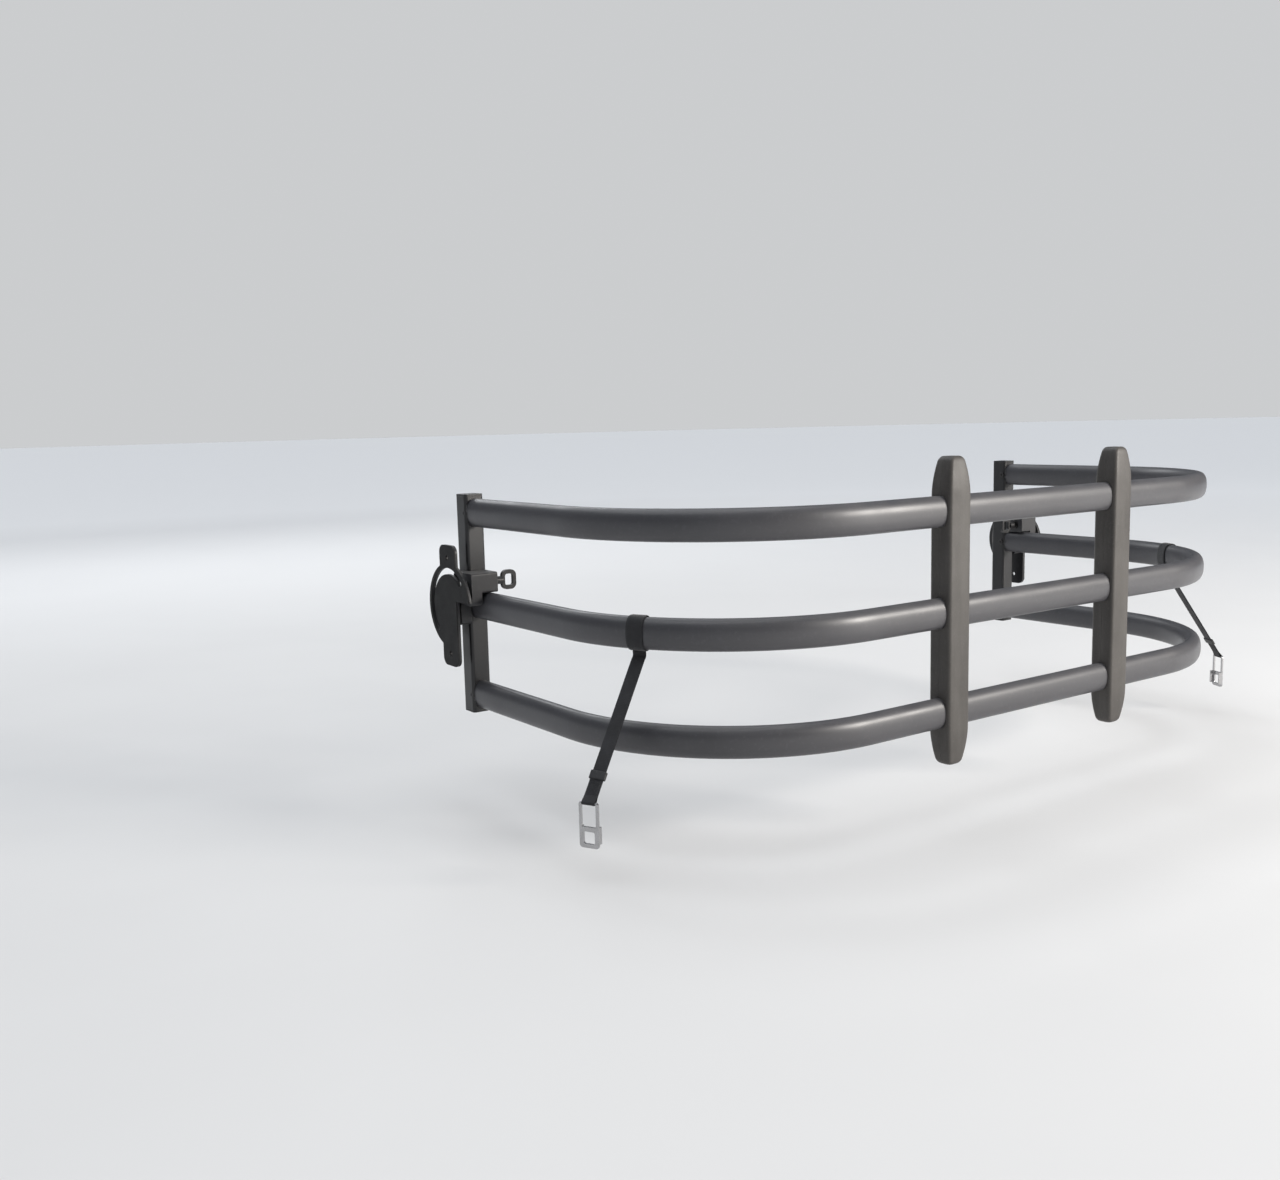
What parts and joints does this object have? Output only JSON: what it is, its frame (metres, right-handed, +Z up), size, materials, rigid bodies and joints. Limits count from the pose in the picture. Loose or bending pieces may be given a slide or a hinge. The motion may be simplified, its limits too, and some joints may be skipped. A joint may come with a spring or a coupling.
{
  "type": "truck bed extender",
  "caption": "U-shaped rail of oval tubes between two end posts, clamped by uprights; flips over a lowered tailgate on pivot brackets, with latch pins and tailgate straps.",
  "frame": {"origin": "on the pivot line, midway between the end posts, at the height of the middle tube", "axes": "+X to the truck's right, +Y forward towards the cab, +Z up; the rail reaches back along -Y over the tailgate"},
  "size_m": [1.6408, 0.733, 0.5349],
  "materials": {
    "tube_coat": "satin textured powder coat over aluminium",
    "post_coat": "satin black powder coat over aluminium",
    "composite": "fine-grained moulded composite",
    "casting_coat": "black coated die casting",
    "bracket_coat": "black powder coat",
    "zinc_steel": "bright zinc plate",
    "chrome": "polished",
    "black_steel": "black zinc plate",
    "nylon": "natural nylon",
    "webbing": "woven polyester",
    "rubber": "matte",
    "black_plastic": "moulded, fine grain"
  },
  "bodies": {
    "truck_brackets": {"bracket_left": "bracket_coat", "bracket_right": "bracket_coat", "bracket_gasket_left": "rubber", "bracket_gasket_right": "rubber", "pivot_stud_left": "zinc_steel", "pivot_stud_right": "zinc_steel", "thrust_washer_left": "nylon", "thrust_washer_right": "nylon"},
    "frame": {"top_tube": "tube_coat", "middle_tube": "tube_coat", "bottom_tube": "tube_coat", "end_post_left": "post_coat", "end_post_right": "post_coat", "post_cap_top_left": "black_plastic", "post_cap_top_right": "black_plastic", "post_cap_bottom_left": "black_plastic", "post_cap_bottom_right": "black_plastic", "tube_bolts_left": "black_steel", "tube_bolts_right": "black_steel", "pivot_casting_left": "casting_coat", "pivot_casting_right": "casting_coat", "casting_screws_left": "zinc_steel", "casting_screws_right": "zinc_steel", "latch_bushing_left": "black_steel", "latch_bushing_right": "black_steel", "latch_spring_left": "zinc_steel", "latch_spring_right": "zinc_steel", "upright_rear_left": "composite", "upright_rear_right": "composite", "upright_front_left": "composite", "upright_front_right": "composite", "upright_screws_left": "zinc_steel", "upright_screws_right": "zinc_steel", "strap_loop_left": "webbing", "strap_loop_right": "webbing"},
    "latch_left": {"latch_pin_left": "zinc_steel", "latch_knob_left": "black_plastic"},
    "strap_left": {"strap_web_left": "webbing", "strap_slider_left": "black_plastic"},
    "clip_left": {"strap_clip_left": "chrome"},
    "latch_right": {"latch_pin_right": "zinc_steel", "latch_knob_right": "black_plastic"},
    "strap_right": {"strap_web_right": "webbing", "strap_slider_right": "black_plastic"},
    "clip_right": {"strap_clip_right": "chrome"}
  },
  "joints": [
    {"name": "flip", "type": "hinge", "parent": "truck_brackets", "child": "frame", "pos_m": [0, 0, 0], "axis": [-1, 0, 0], "range_deg": [0, 180]},
    {"name": "latch_pull_left", "type": "slide", "parent": "frame", "child": "latch_left", "axis": [1, 0, 0], "range_m": [0, 0.012], "stiffness_N_per_m": 1200, "springref_m": -0.006, "deforming": ["latch_spring_left"]},
    {"name": "strap_swing_left", "type": "hinge", "parent": "frame", "child": "strap_left", "pos_m": [-0.6838, -0.45379, -0.0342], "axis": [-0.4384, 0.8988, 0], "range_deg": [-26, 80]},
    {"name": "clip_swing_left", "type": "hinge", "parent": "strap_left", "child": "clip_left", "pos_m": [-0.81155, -0.50052, -0.22389], "axis": [-0.4384, 0.8988, 0], "range_deg": [-40, 110]},
    {"name": "latch_pull_right", "type": "slide", "parent": "frame", "child": "latch_right", "axis": [-1, 0, 0], "range_m": [0, 0.012], "stiffness_N_per_m": 1200, "springref_m": -0.006, "deforming": ["latch_spring_right"]},
    {"name": "strap_swing_right", "type": "hinge", "parent": "frame", "child": "strap_right", "pos_m": [0.6838, -0.45379, -0.0342], "axis": [-0.4384, -0.8988, 0], "range_deg": [-26, 80]},
    {"name": "clip_swing_right", "type": "hinge", "parent": "strap_right", "child": "clip_right", "pos_m": [0.81155, -0.50052, -0.22389], "axis": [-0.4384, -0.8988, 0], "range_deg": [-40, 110]}
  ]
}
